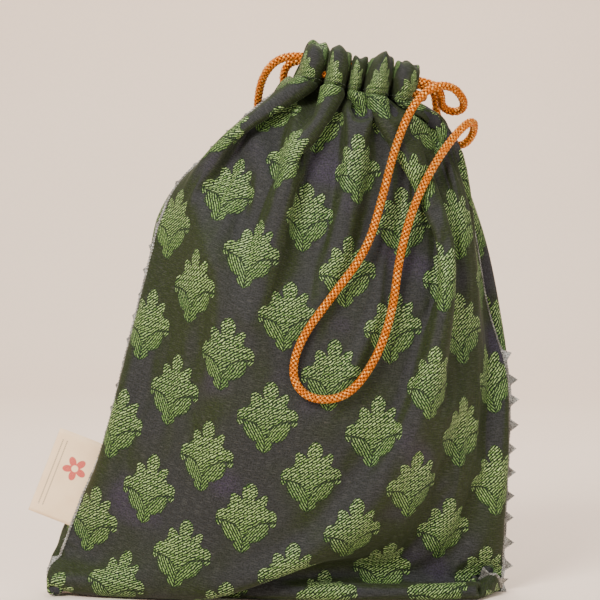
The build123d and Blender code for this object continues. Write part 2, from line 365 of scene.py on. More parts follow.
# Where the side seams are led: column, y below the change, y above it
SEAM_GUIDES = ((0, -10, -8), (SIDE, -7, 9))
CHANGE_FROM, CHANGE_OVER = 100, 40
GUIDE_FROM, GUIDE_OVER, GUIDE_HOLD = 15, 15, 0.06  # they are led above the corners, and how firmly

NECK_ROWS = slice(ROWS * 2 // 3, ROWS - 1)
APART = 1  # between each panel and the line between the seams, near the neck

CORD_ROW = 18  # no pull loop hangs lower than this row
GROOVE_DEPTH, GROOVE_CURVE, GROOVE_WIDTH = 2.9, 0.14, 6.0
DRAWN_OUT = (0, 10, 20)  # how far the pull loops are drawn out where the cloth makes room for them
HANGS_FROM = 24  # a pull loop hangs on the cloth where it is this far from the middle


def pull(a, b, rest, strength, push_only=False):
    """Half of the move that brings each pair a, b to its rest length, times strength."""
    gap = b - a
    length = np.sqrt((gap * gap).sum(-1)) + 1e-9
    error = (length - rest) / length
    if push_only:
        error = np.minimum(error, 0)
    return gap * (0.5 * strength * error)[..., None]


def rest_on_filling(cloth):
    """Keeps the cloth outside its filling, between the widest places and above the floor."""
    x, y, z = cloth[..., 0], cloth[..., 1], cloth[..., 2]
    left, right, front, back = outline_at(np.clip(z, 0, OUTLINE_TOP))
    thinner = ramp(z, THROAT_FROM, THROAT_OVER)
    left = left + INSET + THROAT_LEFT * thinner
    right = right - INSET - THROAT_RIGHT * thinner
    middle, half = (left + right) / 2, (right - left) / 2
    depth = np.where(y < 0, front + lumps_at(x, z), back) - INSET - THROAT_DEPTH * thinner
    ratio = np.sqrt(((x - middle) / half) ** 2 + (y / depth) ** 2) + 1e-9
    top = FILLING_TOP + SHOULDER_RISE * ramp(x, SHOULDER_FROM, -SHOULDER_OVER)
    level = ramp(z, FOOT_FROM, FOOT_OVER) * ramp(z, top, -TOP_OVER)
    inside = level * np.maximum(1 / ratio - 1, 0)
    away = np.hypot(x - middle, y) + 1e-9
    share = np.minimum(inside, MOST_PUSH / away)
    cloth[..., 0] += share * (x - middle)
    cloth[..., 1] += share * y
    cloth[..., 0] = np.clip(cloth[..., 0], LEFTMOST, RIGHTMOST)
    cloth[..., 2] = np.maximum(z, FLOOR_GAP)


def guide_seams(cloth):
    """Turns the side seams a little to the front, and the right one to the back higher up."""
    for column, low_y, high_y in SEAM_GUIDES:
        z = cloth[:-1, column, 2]
        target = low_y + (high_y - low_y) * ramp(z, CHANGE_FROM, CHANGE_OVER)
        hold = ramp(z, GUIDE_FROM, GUIDE_OVER)
        cloth[:-1, column, 1] += GUIDE_HOLD * (target - cloth[:-1, column, 1]) * hold


def keep_apart(cloth):
    """Near the neck, keeps the panels in front of and behind the line between the seams."""
    share = np.linspace(0, 1, SIDE + 1)
    rows = cloth[NECK_ROWS, :, 1]
    between = rows[:, :1] * (1 - share) + rows[:, SIDE : SIDE + 1] * share
    rows[:, 1:SIDE] = np.minimum(rows[:, 1:SIDE], between[:, 1:SIDE] - APART)
    rows[:, SIDE + 1 :] = np.maximum(rows[:, SIDE + 1 :], between[:, SIDE - 1 : 0 : -1] + APART)


def rest_under_cords(cloth, hanging):
    """Keeps each panel under the part of a pull loop that hangs on it, at rest and drawn out."""
    for side, columns, line in hanging:
        part = cloth[CORD_ROW:-1, columns]
        gaps = (part[..., None, 0] - line[:, 0]) ** 2 + (part[..., None, 2] - line[:, 2]) ** 2
        nearest = gaps.argmin(-1)
        gap = gaps.min(-1)
        depth = -side * part[..., 1]
        limit = -side * line[nearest, 1] + GROOVE_DEPTH - GROOVE_CURVE * gap
        part[..., 1] = -side * np.where(gap < GROOVE_WIDTH**2, np.maximum(depth, limit), depth)


def stretch_and_shear(cloth):
    """Brings neighbours round, up and across the cells towards their distance on the flat cloth."""
    diagonal = math.hypot(STEP, RISE)
    for first in (np.arange(0, AROUND, 2), np.arange(1, AROUND, 2)):
        second = (first + 1) % AROUND
        move = pull(cloth[:-1, first], cloth[:-1, second], STEP, 1.0)
        cloth[:-1, first] += move
        cloth[:-1, second] -= move
    for parity in (0, 1):
        low, high = cloth[parity:-1:2], cloth[parity + 1 :: 2]
        count = min(len(low), len(high))
        low, high = low[:count], high[:count]
        move = pull(low, high, RISE, 1.0)
        low += move
        high -= move
        for shift in (-1, 1):
            move = pull(low, np.roll(high, shift, axis=1), diagonal, SHEAR)
            low += move
            high -= np.roll(move, -shift, axis=1)


def resist_bending(cloth):
    """Pushes points a few cells apart away from each other where the cloth folds between them."""
    for span in SPANS:
        move = pull(cloth, np.roll(cloth, -span, axis=1), span * STEP, BEND, True) / 2
        cloth += move - np.roll(move, span, axis=1)
        move = pull(cloth[:-span], cloth[span:], span * RISE, BEND, True) / 2
        cloth[:-span] += move
        cloth[span:] -= move


def settle(cloth, hanging):
    """A position-based cloth solver: inertia and gravity, then passes of stretch, shear, bend and contact."""
    speed = np.zeros_like(cloth)
    pinned = cloth[-1].copy()
    reach = (np.arange(ROWS)[::-1, None] * RISE)[..., None]
    mirror = (-np.arange(AROUND)) % AROUND
    for _ in range(STEPS):
        before = cloth.copy()
        cloth = cloth + speed * KEEP_SPEED
        cloth[..., 2] -= GRAVITY
        for turn in range(PASSES):
            cloth[-1] = pinned
            stretch_and_shear(cloth)
            if turn % 2 == 0:
                resist_bending(cloth)
            from_top = cloth - pinned
            distance = np.linalg.norm(from_top, axis=-1, keepdims=True) + 1e-9
            cloth -= REACH_HOLD * from_top * np.maximum(0, 1 - reach / distance)
            cloth[0] = (cloth[0] + cloth[0][mirror]) / 2
            rest_on_filling(cloth)
            guide_seams(cloth)
            keep_apart(cloth)
            if turn % 2:
                rest_under_cords(cloth, hanging)
        cloth[-1] = pinned
        speed = cloth - before
    return cloth


def refine(points, times=1, axes=(0, 1)):
    """Halves a grid's cells, keeping it smooth (cubic midpoints)."""
    for _ in range(times):
        for axis in axes:
            p = np.moveaxis(points, axis, 0)
            padded = np.concatenate([2 * p[:1] - p[1:2], p, 2 * p[-1:] - p[-2:-1]])
            middle = (9 * (padded[1:-2] + padded[2:-1]) - padded[:-3] - padded[3:]) / 16
            out = np.empty((2 * len(p) - 1,) + p.shape[1:])
            out[0::2], out[1::2] = p, middle
            points = np.moveaxis(out, 0, axis)
    return points


def normals_of(points):
    """Unit normals of a grid, to the outside of a front panel whose columns go right and rows go up."""
    normal = np.cross(np.gradient(points, axis=1), np.gradient(points, axis=0))
    return normal / (np.linalg.norm(normal, axis=-1, keepdims=True) + 1e-12)


def panels_of(cloth):
    """The front and the back panel of the tube of cloth, from seam to seam."""
    return cloth[:, : SIDE + 1], np.concatenate([cloth[:, SIDE:], cloth[:, :1]], 1)


# ---- materials


def feed(tree, value, socket):
    """Gives a node's socket a number or another node's result."""
    if isinstance(value, Field):
        tree.links.new(value.source, socket)
    else:
        socket.default_value = value


def computed(tree, kind, inputs=None, output=0, **settings):
    """What a new node works out; its inputs, by name or number, are numbers or other nodes' results."""
    node = tree.nodes.new("ShaderNode" + kind)
    for name, value in settings.items():
        setattr(node, name, value)
    for socket, value in (inputs or {}).items():
        feed(tree, value, node.inputs[socket])
    return Field(tree, node.outputs[output])


class Field:
    """A number or colour at each place of a surface, worked out by a material's nodes."""

    def __init__(self, tree, source):
        self.tree = tree
        self.source = source

    def math(self, kind, *others):
        return computed(self.tree, "Math", dict(enumerate((self, *others))), operation=kind)

    def __add__(self, other):
        return self.math("ADD", other)

    def __sub__(self, other):
        return self.math("SUBTRACT", other)

    def __mul__(self, other):
        return self.math("MULTIPLY", other)

    def __abs__(self):
        return self.math("ABSOLUTE")

    def wave(self, pitch):
        """A sine wave from 0 to 1 with that pitch."""
        wave = (self * (2 * math.pi / pitch)).math("SINE")
        return wave.math("MULTIPLY_ADD", 0.5, 0.5)

    def rise(self, low, high):
        """0 up to low and 1 from high, smooth between; from 1 to 0 if high is the lower."""
        inputs = {"Value": self, "From Min": min(low, high), "From Max": max(low, high)}
        inputs.update({"To Min": float(low > high), "To Max": float(low < high)})
        return computed(self.tree, "MapRange", inputs, interpolation_type="SMOOTHSTEP")

    def choose(self, low, high):
        """A colour or number that goes from low to high as this number goes from 0 to 1."""
        colours = isinstance(low, tuple) or (isinstance(low, Field) and low.source.type == "RGBA")
        low, high = ((*value, 1) if isinstance(value, tuple) else value for value in (low, high))
        if colours:
            return computed(self.tree, "Mix", {0: self, 6: low, 7: high}, 2, data_type="RGBA")
        return computed(self.tree, "Mix", {0: self, 2: low, 3: high}, 0, data_type="FLOAT")


class Finish:
    """A material in the making: its node tree, its shader and the fields that it starts from."""

    def __init__(self, name, roughness, sheen=0.0, tint=(1, 1, 1), metallic=0.0, specular=0.5):
        self.material = bpy.data.materials.new(name)
        self.material.use_nodes = True
        self.tree = self.material.node_tree
        self.shader = self.tree.nodes["Principled BSDF"]
        for socket, value in (
            ("Roughness", roughness),
            ("Sheen Weight", sheen),
            ("Sheen Roughness", 0.45),
            ("Sheen Tint", (*tint, 1)),
            ("Metallic", metallic),
            ("Specular IOR Level", specular),
        ):
            self.shader.inputs[socket].default_value = value

    def cloth_place(self):
        """Across and up the cloth, in millimetres."""
        place = computed(self.tree, "UVMap", uv_map="cloth")
        return [computed(self.tree, "SeparateXYZ", {0: place}, axis) for axis in (0, 1)]

    def attribute(self, name):
        return computed(self.tree, "Attribute", output="Fac", attribute_name=name)

    def noise(self, scale, detail=2.0, on_cloth=False, stretch=(1, 1, 1)):
        """Noise from 0 to 1; scale is lumps to a metre, or to a millimetre on the cloth."""
        if on_cloth:
            place = computed(self.tree, "UVMap", uv_map="cloth")
        else:
            place = computed(self.tree, "TexCoord", output="Object")
        place = computed(self.tree, "Mapping", {"Vector": place, "Scale": stretch})
        return computed(self.tree, "TexNoise", {"Vector": place, "Scale": scale, "Detail": detail})

    def colour(self, field):
        feed(self.tree, field, self.shader.inputs["Base Color"])

    def roughness(self, field):
        feed(self.tree, field, self.shader.inputs["Roughness"])

    def relief(self, field, height, strength):
        """Bumps of that height in millimetres where the field is 1."""
        bump = computed(self.tree, "Bump", {"Height": field, "Distance": height * MM, "Strength": strength})
        feed(self.tree, bump, self.shader.inputs["Normal"])


# The woven motif, a lotus bud: its parts' middle, half-width, half-height, angle and squareness
BUD = [
    (0, 2.5, 11.5, 7.5, 0, 2.0), (0.8, 13.2, 4, 5.2, 0, 1.8), (-6.2, 9.4, 3.8, 3, 120, 1.5),
    (7.2, 9, 4.2, 2.8, 50, 1.5), (-12.2, 1.6, 3.8, 3, 40, 1.8), (-13.8, -1.8, 1.8, 2.2, 0, 1.8),
    (12.2, 1.8, 3.8, 3, -40, 1.8), (13.8, -1.8, 1.8, 2.2, 0, 1.8), (0, -3.8, 12, 9, 0, 2.2),
    (-0.6, -13.6, 4.4, 4, 0, 1.5),
]
BUD_ACROSS, BUD_UP = 52.5, 48.5  # repeats of the half-drop lattice
BUD_SCALE = 0.94
BUD_TILT = math.radians(7)
STEM_X = -0.6  # the bud's middle line
CALYX_RISE, CALYX_WIDTH, CALYX_DROP = 9.8, 3.4, 1.2  # the vein over the calyx falls to both sides
# The satin's floats above the calyx, left and right below it: their slant, pitch and length
UPPER_FLOATS, LEFT_FLOATS, RIGHT_FLOATS = (33, 1.25, 4.8), (122, 1.2, 3.2), (50, 1.2, 3.2)
FLOAT_STAGGER = 0.38  # from one thread to the next, in a float's length


def along(x, y, angle, offset=0.0):
    """How far the place x, y is in the direction of an angle."""
    first = y.math("MULTIPLY_ADD", math.sin(angle), offset)
    return x.math("MULTIPLY_ADD", math.cos(angle), first)


def satin(x, y, grain, degrees, pitch, length):
    """Threads that run at an angle, each broken into staggered floats: 1 along the middle of a float."""
    angle = math.radians(degrees)
    across = along(x, y, angle + math.pi / 2) + grain
    thread = (across * (1 / pitch) + 0.25).math("FLOOR")
    run = along(x, y, angle) + thread * (FLOAT_STAGGER * length)
    return across.wave(pitch) * run.wave(length).rise(-0.06, 0.1)


def bud_level(x, y):
    """Under 1 inside the bud's outline."""
    level = None
    for cx, cy, half_width, half_height, degrees, power in BUD:
        part = None
        for turn, half in ((0, half_width), (math.pi / 2, half_height)):
            angle = math.radians(degrees) + turn
            reach = along(x, y, angle, -cx * math.cos(angle) - cy * math.sin(angle)) * (1 / half)
            term = abs(reach).math("POWER", power)
            part = term if part is None else part + term
        level = part if level is None else level.math("MINIMUM", part)
    return level


def bud_place(across, up):
    """The place within the nearest bud, from the place on the cloth."""
    near = []
    for shift in (0.0, 0.5):
        u = across.math("MULTIPLY_ADD", 1 / BUD_ACROSS, shift)
        v = up.math("MULTIPLY_ADD", 1 / BUD_UP, shift)
        near.append(((u - u.math("ROUND")) * BUD_ACROSS, (v - v.math("ROUND")) * BUD_UP))
    (xa, ya), (xb, yb) = near
    diamond = abs(xa) * (2 / BUD_ACROSS) + abs(ya) * (2 / BUD_UP)
    is_other = diamond.math("GREATER_THAN", 1.0)
    x, y = is_other.choose(xa, xb), is_other.choose(ya, yb)
    return [along(x, y, BUD_TILT + turn) * (1 / BUD_SCALE) for turn in (0, math.pi / 2)]


def bud_threads(finish, x, y):
    """The weft's floats in a bud, from 0 to 1, and the dark lines between its parts."""
    fall = (abs(x - STEM_X) * (-1 / CALYX_WIDTH)).math("EXPONENT")
    above = y + fall * CALYX_RISE + CALYX_DROP
    below = above.rise(0.35, -0.35)
    grain = (finish.noise(1.3, 1, True) - 0.5) * 0.5
    upper, left, right = (satin(x, y, grain, *floats) for floats in (UPPER_FLOATS, LEFT_FLOATS, RIGHT_FLOATS))
    strands = below.choose(upper, (x - STEM_X).rise(-0.3, 0.3).choose(left, right))
    vein = abs(above).rise(0.75, 0.35)
    stem = abs(x - STEM_X).rise(0.45, 0.2) * below
    return strands, vein.math("MAXIMUM", stem)


def shot_silk(finish, speck, warp):
    """The ground: blue-black, with a painted olive sheen where the cloth turns away from the front and in
    random patches, violet places, dark specks, pale threads.
    """
    sheen_turn = finish.attribute("turn")
    # painted sheen: olive where the cloth turns away from the front, mixed with random olive patches
    olive = (sheen_turn + (finish.noise(0.02, 2, True) - 0.5) * 1.5).rise(0.02, 0.5)
    silk = olive.choose((0.0215, 0.0225, 0.0235), (0.017, 0.027, 0.004))
    violet = finish.noise(0.028, 1, True).rise(0.56, 0.72)
    silk = (violet * 0.55).choose(silk, (0.042, 0.028, 0.062))
    silk = (speck.rise(0.4, 0.62) * 0.75).choose(silk, (0.006, 0.007, 0.004))
    return (warp.rise(0.5, 0.72) * 0.3).choose(silk, (0.11, 0.112, 0.105))


def brocade():
    """Shot silk with woven green buds on a half-drop lattice."""
    finish = Finish("brocade", 0.5, sheen=0.1, tint=(0.42, 0.5, 0.36), specular=0.22)
    across, up = finish.cloth_place()
    wander = finish.noise(0.35, 1, True) - 0.5
    x, y = bud_place(across + wander * 1.2, up - wander * 0.9)
    strands, dark_lines = bud_threads(finish, x, y)
    ragged = finish.noise(1.1, 2, True) - 0.5
    inside = (bud_level(x, y) + ragged * 0.42 + (strands - 0.5) * 0.22).rise(1.04, 0.94)
    # thread is low in the gaps between the floats, where it paints shade, and on the motif's own dark vein
    # and stem lines
    thread = strands.rise(0.24, 0.66) * dark_lines.math("MULTIPLY_ADD", -0.85, 1.0)

    # painted highlight: lighter along the floats' middles, in places, and more towards the bud's top
    lit_places = finish.noise(0.9, 2, True).rise(0.34, 0.6)
    painted_highlight = strands.rise(0.5, 0.95) * lit_places * (y.rise(-14, 9) * 0.65 + 0.35)
    patch = finish.noise(0.035, 1, True).rise(0.35, 0.65)
    green = patch.choose((0.05, 0.13, 0.02), (0.09, 0.185, 0.03))
    # near black: painted shade in the gaps between floats, and the vein and stem lines; the pale colour is
    # the painted highlight
    bud = thread.choose((0.004, 0.01, 0.004), painted_highlight.choose(green, (0.4, 0.52, 0.22)))

    speck = finish.noise(1.3, 3, True)
    warp = finish.noise(1.0, 2, True, (0.25, 3.5, 1))
    finish.colour(inside.choose(shot_silk(finish, speck, warp), bud))
    finish.roughness(inside.choose(0.72, thread.choose(0.75, 0.45)))
    weave = speck * 0.22 + warp * 0.12
    finish.relief(inside.choose(weave, thread * 0.9 + 0.25), 0.3, 0.9)
    return finish.material


def lining_silk():
    """Near-black silk with a fine weave."""
    finish = Finish("lining_silk", 0.65, sheen=0.05, specular=0.2)
    weave = finish.noise(2.0, 2, True, (0.4, 3, 1))
    finish.colour(weave.rise(0.3, 0.7).choose((0.012, 0.012, 0.014), (0.035, 0.035, 0.04)))
    finish.relief(weave, 0.1, 0.6)
    return finish.material


def gold_cord():
    """Orange yarns with a painted gold glint where they come up, and painted shade, dark red-brown, where
    they go under and on the core.
    """
    finish = Finish("gold_cord", 0.36, metallic=0.65, specular=0.2)
    height = finish.attribute("height")
    fibre = finish.noise(3200, 2)
    blotch = finish.noise(420, 2)
    # painted shade: dark red-brown where the yarns go low and on the core, height 0; the glint is a painted
    # highlight where they stand highest
    shaded_orange = height.rise(0.15, 0.9).choose((0.09, 0.008, 0.001), (0.6, 0.165, 0.006))
    glint = (height.rise(0.72, 1.0) * blotch.rise(0.4, 0.6)) * fibre.rise(0.35, 0.65)
    finish.colour(glint.choose(shaded_orange, (1.0, 0.7, 0.24)))
    finish.roughness(fibre.choose(0.28, 0.48))
    finish.relief(fibre, 0.12, 0.7)
    return finish.material


def silver_lace():
    """Silver yarn, dark between its turns."""
    finish = Finish("silver_lace", 0.34, metallic=0.6, specular=0.6)
    yarn = finish.noise(1900, 2)
    tarnish = finish.noise(130, 2)
    silver = tarnish.rise(0.35, 0.7).choose((0.46, 0.46, 0.43), (0.22, 0.21, 0.19))
    finish.colour(yarn.rise(0.36, 0.56).choose((0.05, 0.05, 0.045), silver))
    finish.roughness(yarn.choose(0.25, 0.5))
    finish.relief(yarn, 0.1, 0.8)
    return finish.material


def sewing_thread():
    """Dark green twisted thread."""
    finish = Finish("sewing_thread", 0.6, sheen=0.2)
    twist = finish.noise(2500, 2)
    finish.colour(twist.rise(0.3, 0.7).choose((0.02, 0.03, 0.015), (0.07, 0.09, 0.05)))
    finish.relief(twist, 0.05, 0.6)
    return finish.material


LABEL_LENGTH = 44.0
LABEL_REACH = 26.0
BLOSSOM = (27.5, 12.0)  # its middle on the label: along the seam, out from it
BLOSSOM_SIZE = 6.2
RULES = (20.4, 22.6)  # how far out from the seam the thin woven rules run
RULE_HALF = 17.5


def ribbon():
    """Cream taffeta ribbon with a woven red blossom and two thin brown rules."""
    finish = Finish("label_ribbon", 0.7, sheen=0.2)
    up, out = finish.cloth_place()
    weft = out.wave(0.42)
    warp = up.wave(0.5)
    soil = finish.noise(0.09, 3, True)
    cream = soil.rise(0.3, 0.75).choose((1.0, 0.76, 0.48), (0.94, 0.68, 0.41))
    cream = ((weft * warp) * 0.18).choose(cream, (0.6, 0.5, 0.38))
    dx, dy = up - BLOSSOM[0], out - BLOSSOM[1]
    radius = (dx * dx + dy * dy).math("SQRT")
    angle = dy.math("ARCTAN2", dx)
    petals = abs((angle * 2.5).math("SINE")).math("MULTIPLY_ADD", 0.62, 0.38) * BLOSSOM_SIZE
    petal = (radius - petals).rise(0.25, -0.25) * radius.rise(1.5, 1.9)
    red = petal * (weft.rise(0.05, 0.35) * 0.4 + 0.6)
    inner, outer = (abs(out - distance).rise(0.42, 0.2) for distance in RULES)
    rules = inner.math("MAXIMUM", outer) * abs(up - LABEL_LENGTH / 2).rise(RULE_HALF, RULE_HALF - 0.5)
    rules = rules * up.wave(0.9).rise(0.1, 0.5)
    finish.colour((rules * 0.75).choose(red.choose(cream, (0.55, 0.02, 0.03)), (0.09, 0.045, 0.03)))
    finish.relief(weft * 0.5 + warp * 0.5, 0.08, 0.7)
    return finish.material


# ---- lines and yarns


def nurbs_line(route):
    """Points in millimetres along the NURBS curve that has a route's points, in metres, as control points."""
    data = bpy.data.curves.new("route", "CURVE")
    data.dimensions = "3D"
    data.resolution_u = 16
    spline = data.splines.new("NURBS")
    spline.points.add(len(route) - 1)
    for point, position in zip(spline.points, route):
        point.co = (*position, 1)
    spline.order_u = 3
    spline.use_endpoint_u = True
    holder = bpy.data.objects.new("route", data)
    mesh = bpy.data.meshes.new_from_object(holder)
    points = np.empty(len(mesh.vertices) * 3)
    mesh.vertices.foreach_get("co", points)
    for block, item in ((bpy.data.objects, holder), (bpy.data.curves, data), (bpy.data.meshes, mesh)):
        block.remove(item)
    return points.reshape(-1, 3) / MM


def spaced(line, step):
    """A line's points again, evenly spaced."""
    gaps = np.linalg.norm(np.diff(line, axis=0), axis=1)
    apart = gaps > 1e-6
    line = line[np.concatenate([[True], apart])]
    length = running_total(gaps[apart])
    even = np.linspace(0, length[-1], max(3, int(round(length[-1] / step)) + 1))
    return at_places(even, length, line)


def unit(vectors):
    return vectors / (np.linalg.norm(vectors, axis=-1, keepdims=True) + 1e-12)


def spaced_like(directions, count):
    """A row of directions stretched to another number of places."""
    old, new = np.linspace(0, 1, len(directions)), np.linspace(0, 1, count)
    return unit(at_places(new, old, directions))


def sides_of(line):
    """Two directions square to a line at each point, carried along it without twist."""
    forward = unit(np.gradient(line, axis=0))
    start = np.cross(forward[0], (0, 0, 1.0))
    if np.linalg.norm(start) < 0.2:
        start = np.cross(forward[0], (0, 1.0, 0))
    side = np.empty_like(line)
    side[0] = unit(start)
    for k in range(1, len(line)):
        carried = side[k - 1] - forward[k] * (side[k - 1] @ forward[k])
        side[k] = carried / np.linalg.norm(carried)
    return side, np.cross(forward, side)


class Threads:
    """Round threads gathered in one mesh, each with a number at its points, 1 if none is given."""

    def __init__(self):
        self.verts = []
        self.faces = []
        self.values = []
        self.count = 0

    def add(self, line, radius, sides=5, value=None):
        side, up = sides_of(line)
        turn = np.linspace(0, 2 * math.pi, sides, endpoint=False)
        ring = np.cos(turn)[:, None] * side[:, None] + np.sin(turn)[:, None] * up[:, None]
        self.verts.append((line[:, None] + radius * ring).reshape(-1, 3))
        self.faces += grid_faces(len(line), sides, closed=True, first=self.count)
        last = self.count + (len(line) - 1) * sides
        self.faces.append(tuple(range(self.count + sides - 1, self.count - 1, -1)))
        self.faces.append(tuple(range(last, last + sides)))
        value = np.ones(len(line)) if value is None else value
        self.values.append(np.repeat(value, sides))
        self.count += len(line) * sides

    def make(self, name, material):
        obj = mesh_object(name, np.concatenate(self.verts), self.faces)
        mark_points(obj, "height", np.concatenate(self.values))
        obj.data.materials.append(material)
        return obj


YARNS = 4  # each way round the cord
YARN_RADIUS = 0.68
BRAID_RADIUS = 1.3
BRAID_PITCH = 9.2
BRAID_RIPPLE = 0.3


def braid(lines, name, material):
    """Round braids of yarns over and under each other along lines, each on a core."""
    threads = Threads()
    for line in lines:
        line = spaced(line, 0.42)
        length = length_along(line)
        side, up = sides_of(line)
        for way in (1, -1):
            ripple = way * np.cos(2 * math.pi * YARNS * length / BRAID_PITCH)
            for yarn in range(YARNS):
                turn = 2 * math.pi * (way * length / BRAID_PITCH + yarn / YARNS)
                out = (BRAID_RADIUS + BRAID_RIPPLE * ripple)[:, None]
                path = line + out * (np.cos(turn)[:, None] * side + np.sin(turn)[:, None] * up)
                threads.add(path, YARN_RADIUS, value=0.5 + 0.5 * ripple)
        # the core, at height 0, takes the cord's darkest colour: painted shade between the yarns
        threads.add(line, BRAID_RADIUS, 8, np.zeros(len(line)))
    return threads.make(name, material)


# ---- cloth pieces

PANEL_THICKNESS = 0.5
LINING_THICKNESS = 0.25
LINING_GAP = 0.65
BACK_SHIFT = 301.0  # the back is cut elsewhere from the same cloth


def cloth_uv(word, rows, columns, base, height):
    """Where the front's or the back's points are on the flat cloth, in millimetres."""
    across = np.linspace(-CLOTH_WIDTH / 2, CLOTH_WIDTH / 2, columns)
    up = np.linspace(base, base + height, rows)
    across, up = np.meshgrid(across + BACK_SHIFT * (word == "back"), up)
    return np.stack([across, up], -1)


def mark_sheen_turn(obj):
    """Keeps how far each point's cloth turns away from the front and the back, from 0 to 1: the mask of the
    brocade's painted olive sheen.
    """
    mesh = obj.data
    normals = np.empty(len(mesh.vertices) * 3)
    mesh.vertices.foreach_get("normal", normals)
    normals = normals.reshape(-1, 3)
    facing = np.abs(normals[:, 1]) * 0.93 + np.clip(normals[:, 2], 0, 1) * 0.3 - normals[:, 0] * 0.12
    mark_points(obj, "turn", ramp(facing, 0.99, -0.42))


def finish_sheet(obj, word, thickness, material, slot, node, **others):
    """Makes a panel or lining of a bare sheet: thickens it, gives it its material, bakes its transform and
    hides the CAD node.
    """
    thicken(obj, thickness, -1)
    obj.data.materials.append(material)
    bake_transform(obj)
    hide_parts(node)


def panel(word, points, material, hem):
    """The outer cloth of one side, which goes on in its hem at the top."""
    fine = refine(points)
    obj = grid_object(f"{word}_brocade", fine, cloth_uv(word, *fine.shape[:2], 0, BODY_HEIGHT))
    mark_sheen_turn(obj)
    finish_sheet(obj, word, PANEL_THICKNESS, material, "brocade", f"{word}_panel", with_pieces=[hem])


def lining(word, points, material):
    """The lining of one side, just inside its panel."""
    inner = points - LINING_GAP * normals_of(points)
    inner[..., 2] = np.maximum(inner[..., 2], FLOOR_GAP + 0.3)
    obj = grid_object(f"{word}_lining_cloth", inner, cloth_uv(word, *inner.shape[:2], 0, BODY_HEIGHT))
    finish_sheet(obj, word, LINING_THICKNESS, material, "lining", f"{word}_lining")


# The hem round the drawstrings, from the stitches up and over and down inside:
# reach and level where a gather stands out, then where it draws in
HEM = np.array([
    (21.0, 3.0, 4.0, 3.0), (21.8, 7.0, 7.0, 6.5), (21.2, 11.5, 11.0, 11.0), (20.2, 14.5, 13.4, 14.3),
    (19.8, 18.0, 13.2, 16.2), (18.4, 22.0, 12.2, 17.4), (15.4, 24.6, 11.0, 18.0), (11.8, 25.0, 9.6, 18.0),
    (8.0, 23.0, 8.2, 17.2), (6.0, 19.0, 7.6, 16.0), (5.5, 14.5, 8.0, 14.0), (5.0, 9.0, 6.5, 9.0),
    (4.5, 4.0, 4.0, 4.0),
])
HEM_TOP = 25.0
HEM_ROOT = 7  # over this much of the hem from either edge its ends open out
HEM_LEAN, HEM_SMALL_LEAN, HEM_SWAY, HEM_RIPPLE = 1.5, 0.6, 1.1, 0.7  # the gathers' irregularities


def hem_grid(lobes, side):
    """One casing as a grid: rows from the stitches over and down inside, columns from left to right."""
    columns = 2 * SIDE
    x, crest, top = gather(lobes, columns)
    inward = ends_of(columns, 2 * END_CELLS)
    profile = refine(HEM[:, None, :], 2, axes=(0,))[:, 0]
    rise = np.linspace(0, CASING_HEIGHT, len(profile))[:, None]
    reach = profile[:, 2:3] + (profile[:, 0:1] - profile[:, 2:3]) * crest
    rounded = np.sin(np.pi / 2 * np.sqrt(crest))
    level = profile[:, 3:4] + (profile[:, 1:2] - profile[:, 3:4]) * rounded
    level = STITCH_LEVEL + (level - STITCH_LEVEL) * (top - STITCH_LEVEL) / (HEM_TOP - STITCH_LEVEL)
    opened = ramp(rise, 0, HEM_ROOT) * ramp(rise, CASING_HEIGHT, -HEM_ROOT)
    reach = reach * (inward + (1 - inward) * opened)
    height = np.clip((level - STITCH_LEVEL) / (HEM_TOP - STITCH_LEVEL), 0, 1.2)
    lean = HEM_LEAN * np.sin(0.21 * x + 1.1) + HEM_SMALL_LEAN * np.sin(0.5 * x + 0.4 + side)
    sway = HEM_SWAY * np.sin(0.52 * x + 2 * side)
    x = x * (1 + END_FLARE * (1 - inward) * (1 - opened)) + lean * height**2
    level = level + HEM_RIPPLE * np.sin(0.9 * x + 0.35 * rise) * np.clip(height, 0, 1)
    return neck(x, side * (reach + sway * height**2), level)


def casing(word, lobes, side, material):
    """The gathered hem of one side, and its grid."""
    grid = hem_grid(lobes, side)
    if side > 0:
        grid = grid[:, ::-1]
    obj = grid_object(f"{word}_ruffle", grid, cloth_uv(word, *grid.shape[:2], BODY_HEIGHT, CASING_HEIGHT))
    mark_sheen_turn(obj)
    thicken(obj, PANEL_THICKNESS, -1)
    obj.data.materials.append(material)
    place(obj, f"{word}_lip", "brocade", f"{word}_casing")
    return obj, grid


STITCH, STITCH_PITCH, STITCH_RADIUS = 2.3, 3.4, 0.2
STITCH_SAMPLE = 0.3  # between the points of a stitch


def casing_stitches(word, grid, material):
    """Running stitches just above the casing's lower edge."""
    row = spaced(grid[2], STITCH_SAMPLE)
    lift = unit(np.cross(np.gradient(grid, axis=1), np.gradient(grid, axis=0)))[2]
    lift = spaced_like(lift, len(row))
    threads = Threads()
    per_stitch = int(STITCH / STITCH_SAMPLE)
    arch = np.sin(np.linspace(0, math.pi, per_stitch + 1))[:, None]
    for first in range(4, len(row) - per_stitch - 4, int(STITCH_PITCH / STITCH_SAMPLE)):
        part = slice(first, first + per_stitch + 1)
        threads.add(row[part] + lift[part] * (0.35 * arch - 0.1), STITCH_RADIUS)
    obj = threads.make(f"{word}_ruffle_stitches", material)
    place(obj, f"{word}_lip", "thread", f"{word}_casing_stitches")


# ---- lace

LACE_PITCH = 11.75
POINT_BASE = 6.6
POINT_REACH = 4.7
POINT_ROWS = 9  # of the zigzag that fills a point
PICOTS = 7
PICOT_BULGE = 0.55
EDGE_RADIUS, FILL_RADIUS = 0.3, 0.26
PLAIT_PITCH = 5.0
PLAIT_HALF_WIDTH, PLAIT_HALF_HEIGHT, PLAIT_RADIUS = 0.62, 0.3, 0.36
POINT_STAND = 0.5  # how far out of the tape's middle a point starts
